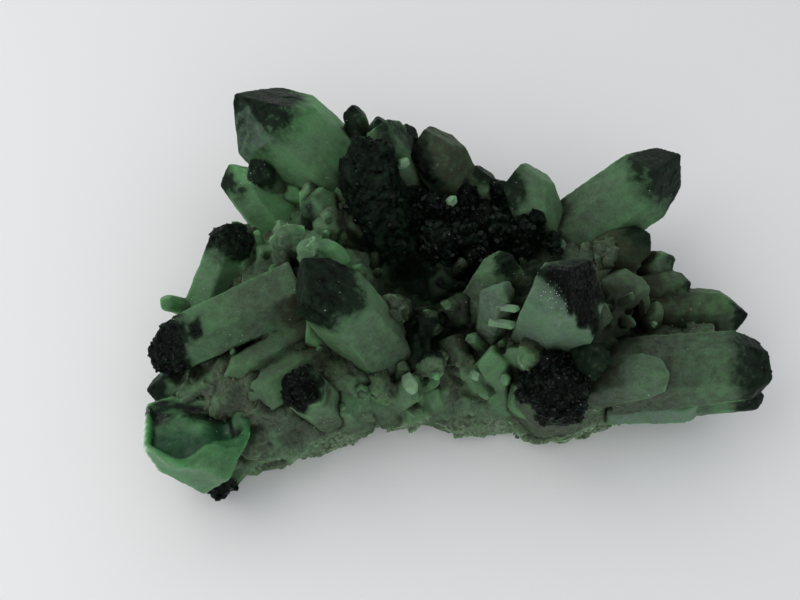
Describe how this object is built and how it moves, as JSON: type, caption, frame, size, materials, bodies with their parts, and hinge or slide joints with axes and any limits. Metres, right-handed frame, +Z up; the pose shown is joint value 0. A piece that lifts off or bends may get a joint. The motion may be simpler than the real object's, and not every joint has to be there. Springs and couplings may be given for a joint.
{
  "type": "quartz crystal cluster",
  "caption": "Cluster of stout green quartz crystals with dark tips, fanning out of a lumpy quartz matrix with a flat underside.",
  "frame": {"origin": "a point on the flat underside, below the middle of the cluster", "axes": "+X along the cluster to the right, +Y towards its back, +Z up"},
  "size_m": [0.1858, 0.1307, 0.0663],
  "materials": {
    "green_quartz": "frosted, near-black at the tips",
    "granular_quartz": "rough, granular"
  },
  "bodies": {
    "root": {"matrix": "granular_quartz", "upper_left_crystals": "green_quartz", "left_point_crystals": "green_quartz", "long_left_crystals": "green_quartz", "window_crystal": "green_quartz", "capped_stub": "green_quartz", "left_centre_crystal": "green_quartz", "back_block_crystals": "green_quartz", "back_point_crystals": "green_quartz", "short_back_point": "green_quartz", "upper_right_point": "green_quartz", "right_back_crystal": "green_quartz", "right_fan_crystals": "green_quartz", "lower_right_crystals": "green_quartz", "black_capped_crystal": "green_quartz", "druse_capped_crystals": "green_quartz", "valley_crystals": "green_quartz"}
  },
  "joints": []
}
